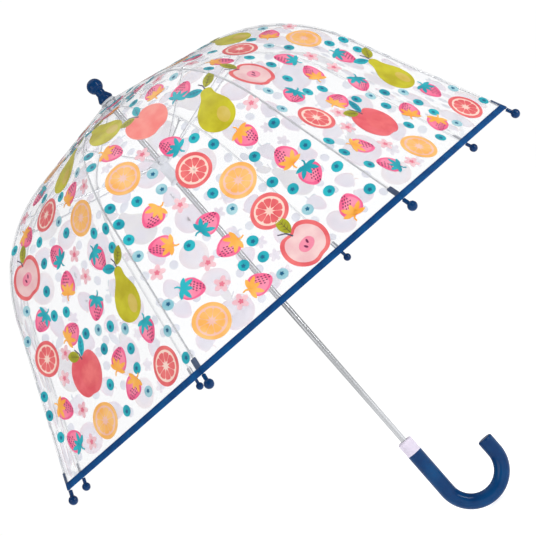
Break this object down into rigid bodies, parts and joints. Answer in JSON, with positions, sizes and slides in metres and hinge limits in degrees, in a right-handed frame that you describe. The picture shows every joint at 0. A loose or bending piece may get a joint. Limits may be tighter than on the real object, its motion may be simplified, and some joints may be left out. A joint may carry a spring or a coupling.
{
  "type": "children's dome umbrella",
  "caption": "Open children's dome umbrella with a clear printed canopy, ball-tipped ribs, sliding runner and hooked handle, whose rib frame folds.",
  "frame": {"origin": "middle of the straight hand grip, on the shaft's axis", "axes": "+Z along the shaft towards the top ball, +X towards the open end of the hook"},
  "size_m": [0.664, 0.664, 0.6717],
  "materials": {
    "bright_steel": "polished",
    "rib_steel": "satin",
    "navy_handle": "gloss",
    "navy_knob": "gloss",
    "collar": "gloss",
    "pale_plastic": "satin",
    "clear_film": "clear, glossy",
    "binding": "woven tape",
    "pocket": "woven"
  },
  "bodies": {
    "shaft": {"shaft_tube": "bright_steel", "handle": "navy_handle", "handle_collar": "collar", "finial": "navy_knob", "canopy_washer": "pale_plastic", "crown_hub": "pale_plastic", "crown_wire": "bright_steel", "upper_catch_spring": "bright_steel", "lower_catch_spring": "bright_steel", "stop_pin": "bright_steel", "canopy_panel_1": "clear_film", "canopy_panel_2": "clear_film", "canopy_panel_3": "clear_film", "canopy_panel_4": "clear_film", "canopy_panel_5": "clear_film", "canopy_panel_6": "clear_film", "canopy_panel_7": "clear_film", "canopy_panel_8": "clear_film", "hem_binding": "binding", "tip_pockets": "pocket"},
    "runner": {"runner": "pale_plastic", "runner_wire": "bright_steel"},
    "rib_upper_1": {"rib_upper_1": "rib_steel"},
    "rib_lower_1": {"rib_lower_1": "rib_steel", "rib_tip_1": "navy_knob"},
    "stretcher_1": {"stretcher_1": "rib_steel"},
    "rib_upper_2": {"rib_upper_2": "rib_steel"},
    "rib_lower_2": {"rib_lower_2": "rib_steel", "rib_tip_2": "navy_knob"},
    "stretcher_2": {"stretcher_2": "rib_steel"},
    "rib_upper_3": {"rib_upper_3": "rib_steel"},
    "rib_lower_3": {"rib_lower_3": "rib_steel", "rib_tip_3": "navy_knob"},
    "stretcher_3": {"stretcher_3": "rib_steel"},
    "rib_upper_4": {"rib_upper_4": "rib_steel"},
    "rib_lower_4": {"rib_lower_4": "rib_steel", "rib_tip_4": "navy_knob"},
    "stretcher_4": {"stretcher_4": "rib_steel"},
    "rib_upper_5": {"rib_upper_5": "rib_steel"},
    "rib_lower_5": {"rib_lower_5": "rib_steel", "rib_tip_5": "navy_knob"},
    "stretcher_5": {"stretcher_5": "rib_steel"},
    "rib_upper_6": {"rib_upper_6": "rib_steel"},
    "rib_lower_6": {"rib_lower_6": "rib_steel", "rib_tip_6": "navy_knob"},
    "stretcher_6": {"stretcher_6": "rib_steel"},
    "rib_upper_7": {"rib_upper_7": "rib_steel"},
    "rib_lower_7": {"rib_lower_7": "rib_steel", "rib_tip_7": "navy_knob"},
    "stretcher_7": {"stretcher_7": "rib_steel"},
    "rib_upper_8": {"rib_upper_8": "rib_steel"},
    "rib_lower_8": {"rib_lower_8": "rib_steel", "rib_tip_8": "navy_knob"},
    "stretcher_8": {"stretcher_8": "rib_steel"}
  },
  "joints": [
    {"name": "runner_slide", "type": "slide", "parent": "shaft", "child": "runner", "axis": [0, 0, -1], "range_m": [0, 0.25463], "deforming": ["canopy_panel_1", "canopy_panel_2", "canopy_panel_3", "canopy_panel_4", "canopy_panel_5", "canopy_panel_6", "canopy_panel_7", "canopy_panel_8", "hem_binding", "tip_pockets", "upper_catch_spring", "lower_catch_spring"]},
    {"name": "rib_fold_1", "type": "hinge", "parent": "shaft", "child": "rib_upper_1", "pos_m": [0.01064, 0.00554, 0.558], "axis": [-0.4617, 0.887, 0], "range_deg": [0, 70.05]},
    {"name": "rib_flex_1", "type": "hinge", "parent": "rib_upper_1", "child": "rib_lower_1", "pos_m": [0.18367, 0.09561, 0.49627], "axis": [-0.4617, 0.887, 0], "range_deg": [-44.05, 0]},
    {"name": "stretcher_fold_1", "type": "hinge", "parent": "rib_upper_1", "child": "stretcher_1", "pos_m": [0.15754, 0.08201, 0.51498], "axis": [-0.4617, 0.887, 0], "range_deg": [-140.05, 0]},
    {"name": "rib_fold_2", "type": "hinge", "parent": "shaft", "child": "rib_upper_2", "pos_m": [0.00361, 0.01145, 0.558], "axis": [-0.9537, 0.3007, 0], "range_deg": [0, 70.05]},
    {"name": "rib_flex_2", "type": "hinge", "parent": "rib_upper_2", "child": "rib_lower_2", "pos_m": [0.06227, 0.19749, 0.49627], "axis": [-0.9537, 0.3007, 0], "range_deg": [-44.05, 0]},
    {"name": "stretcher_fold_2", "type": "hinge", "parent": "rib_upper_2", "child": "stretcher_2", "pos_m": [0.05341, 0.16939, 0.51498], "axis": [-0.9537, 0.3007, 0], "range_deg": [-140.05, 0]},
    {"name": "rib_fold_3", "type": "hinge", "parent": "shaft", "child": "rib_upper_3", "pos_m": [-0.00554, 0.01064, 0.558], "axis": [-0.887, -0.4617, 0], "range_deg": [0, 70.05]},
    {"name": "rib_flex_3", "type": "hinge", "parent": "rib_upper_3", "child": "rib_lower_3", "pos_m": [-0.09561, 0.18367, 0.49627], "axis": [-0.887, -0.4617, 0], "range_deg": [-44.05, 0]},
    {"name": "stretcher_fold_3", "type": "hinge", "parent": "rib_upper_3", "child": "stretcher_3", "pos_m": [-0.08201, 0.15754, 0.51498], "axis": [-0.887, -0.4617, 0], "range_deg": [-140.05, 0]},
    {"name": "rib_fold_4", "type": "hinge", "parent": "shaft", "child": "rib_upper_4", "pos_m": [-0.01145, 0.00361, 0.558], "axis": [-0.3007, -0.9537, 0], "range_deg": [0, 70.05]},
    {"name": "rib_flex_4", "type": "hinge", "parent": "rib_upper_4", "child": "rib_lower_4", "pos_m": [-0.19749, 0.06227, 0.49627], "axis": [-0.3007, -0.9537, 0], "range_deg": [-44.05, 0]},
    {"name": "stretcher_fold_4", "type": "hinge", "parent": "rib_upper_4", "child": "stretcher_4", "pos_m": [-0.16939, 0.05341, 0.51498], "axis": [-0.3007, -0.9537, 0], "range_deg": [-140.05, 0]},
    {"name": "rib_fold_5", "type": "hinge", "parent": "shaft", "child": "rib_upper_5", "pos_m": [-0.01064, -0.00554, 0.558], "axis": [0.4617, -0.887, 0], "range_deg": [0, 70.05]},
    {"name": "rib_flex_5", "type": "hinge", "parent": "rib_upper_5", "child": "rib_lower_5", "pos_m": [-0.18367, -0.09561, 0.49627], "axis": [0.4617, -0.887, 0], "range_deg": [-44.05, 0]},
    {"name": "stretcher_fold_5", "type": "hinge", "parent": "rib_upper_5", "child": "stretcher_5", "pos_m": [-0.15754, -0.08201, 0.51498], "axis": [0.4617, -0.887, 0], "range_deg": [-140.05, 0]},
    {"name": "rib_fold_6", "type": "hinge", "parent": "shaft", "child": "rib_upper_6", "pos_m": [-0.00361, -0.01145, 0.558], "axis": [0.9537, -0.3007, 0], "range_deg": [0, 70.05]},
    {"name": "rib_flex_6", "type": "hinge", "parent": "rib_upper_6", "child": "rib_lower_6", "pos_m": [-0.06227, -0.19749, 0.49627], "axis": [0.9537, -0.3007, 0], "range_deg": [-44.05, 0]},
    {"name": "stretcher_fold_6", "type": "hinge", "parent": "rib_upper_6", "child": "stretcher_6", "pos_m": [-0.05341, -0.16939, 0.51498], "axis": [0.9537, -0.3007, 0], "range_deg": [-140.05, 0]},
    {"name": "rib_fold_7", "type": "hinge", "parent": "shaft", "child": "rib_upper_7", "pos_m": [0.00554, -0.01064, 0.558], "axis": [0.887, 0.4617, 0], "range_deg": [0, 70.05]},
    {"name": "rib_flex_7", "type": "hinge", "parent": "rib_upper_7", "child": "rib_lower_7", "pos_m": [0.09561, -0.18367, 0.49627], "axis": [0.887, 0.4617, 0], "range_deg": [-44.05, 0]},
    {"name": "stretcher_fold_7", "type": "hinge", "parent": "rib_upper_7", "child": "stretcher_7", "pos_m": [0.08201, -0.15754, 0.51498], "axis": [0.887, 0.4617, 0], "range_deg": [-140.05, 0]},
    {"name": "rib_fold_8", "type": "hinge", "parent": "shaft", "child": "rib_upper_8", "pos_m": [0.01145, -0.00361, 0.558], "axis": [0.3007, 0.9537, 0], "range_deg": [0, 70.05]},
    {"name": "rib_flex_8", "type": "hinge", "parent": "rib_upper_8", "child": "rib_lower_8", "pos_m": [0.19749, -0.06227, 0.49627], "axis": [0.3007, 0.9537, 0], "range_deg": [-44.05, 0]},
    {"name": "stretcher_fold_8", "type": "hinge", "parent": "rib_upper_8", "child": "stretcher_8", "pos_m": [0.16939, -0.05341, 0.51498], "axis": [0.3007, 0.9537, 0], "range_deg": [-140.05, 0]}
  ],
  "couplings": [
    {"joint": "rib_fold_1", "follows": "runner_slide", "rad_per_m": 4.7981},
    {"joint": "rib_flex_1", "follows": "runner_slide", "rad_per_m": -3.0159},
    {"joint": "stretcher_fold_1", "follows": "runner_slide", "rad_per_m": -9.5961},
    {"joint": "rib_fold_2", "follows": "runner_slide", "rad_per_m": 4.7981},
    {"joint": "rib_flex_2", "follows": "runner_slide", "rad_per_m": -3.0159},
    {"joint": "stretcher_fold_2", "follows": "runner_slide", "rad_per_m": -9.5961},
    {"joint": "rib_fold_3", "follows": "runner_slide", "rad_per_m": 4.7981},
    {"joint": "rib_flex_3", "follows": "runner_slide", "rad_per_m": -3.0159},
    {"joint": "stretcher_fold_3", "follows": "runner_slide", "rad_per_m": -9.5961},
    {"joint": "rib_fold_4", "follows": "runner_slide", "rad_per_m": 4.7981},
    {"joint": "rib_flex_4", "follows": "runner_slide", "rad_per_m": -3.0159},
    {"joint": "stretcher_fold_4", "follows": "runner_slide", "rad_per_m": -9.5961},
    {"joint": "rib_fold_5", "follows": "runner_slide", "rad_per_m": 4.7981},
    {"joint": "rib_flex_5", "follows": "runner_slide", "rad_per_m": -3.0159},
    {"joint": "stretcher_fold_5", "follows": "runner_slide", "rad_per_m": -9.5961},
    {"joint": "rib_fold_6", "follows": "runner_slide", "rad_per_m": 4.7981},
    {"joint": "rib_flex_6", "follows": "runner_slide", "rad_per_m": -3.0159},
    {"joint": "stretcher_fold_6", "follows": "runner_slide", "rad_per_m": -9.5961},
    {"joint": "rib_fold_7", "follows": "runner_slide", "rad_per_m": 4.7981},
    {"joint": "rib_flex_7", "follows": "runner_slide", "rad_per_m": -3.0159},
    {"joint": "stretcher_fold_7", "follows": "runner_slide", "rad_per_m": -9.5961},
    {"joint": "rib_fold_8", "follows": "runner_slide", "rad_per_m": 4.7981},
    {"joint": "rib_flex_8", "follows": "runner_slide", "rad_per_m": -3.0159},
    {"joint": "stretcher_fold_8", "follows": "runner_slide", "rad_per_m": -9.5961}
  ]
}
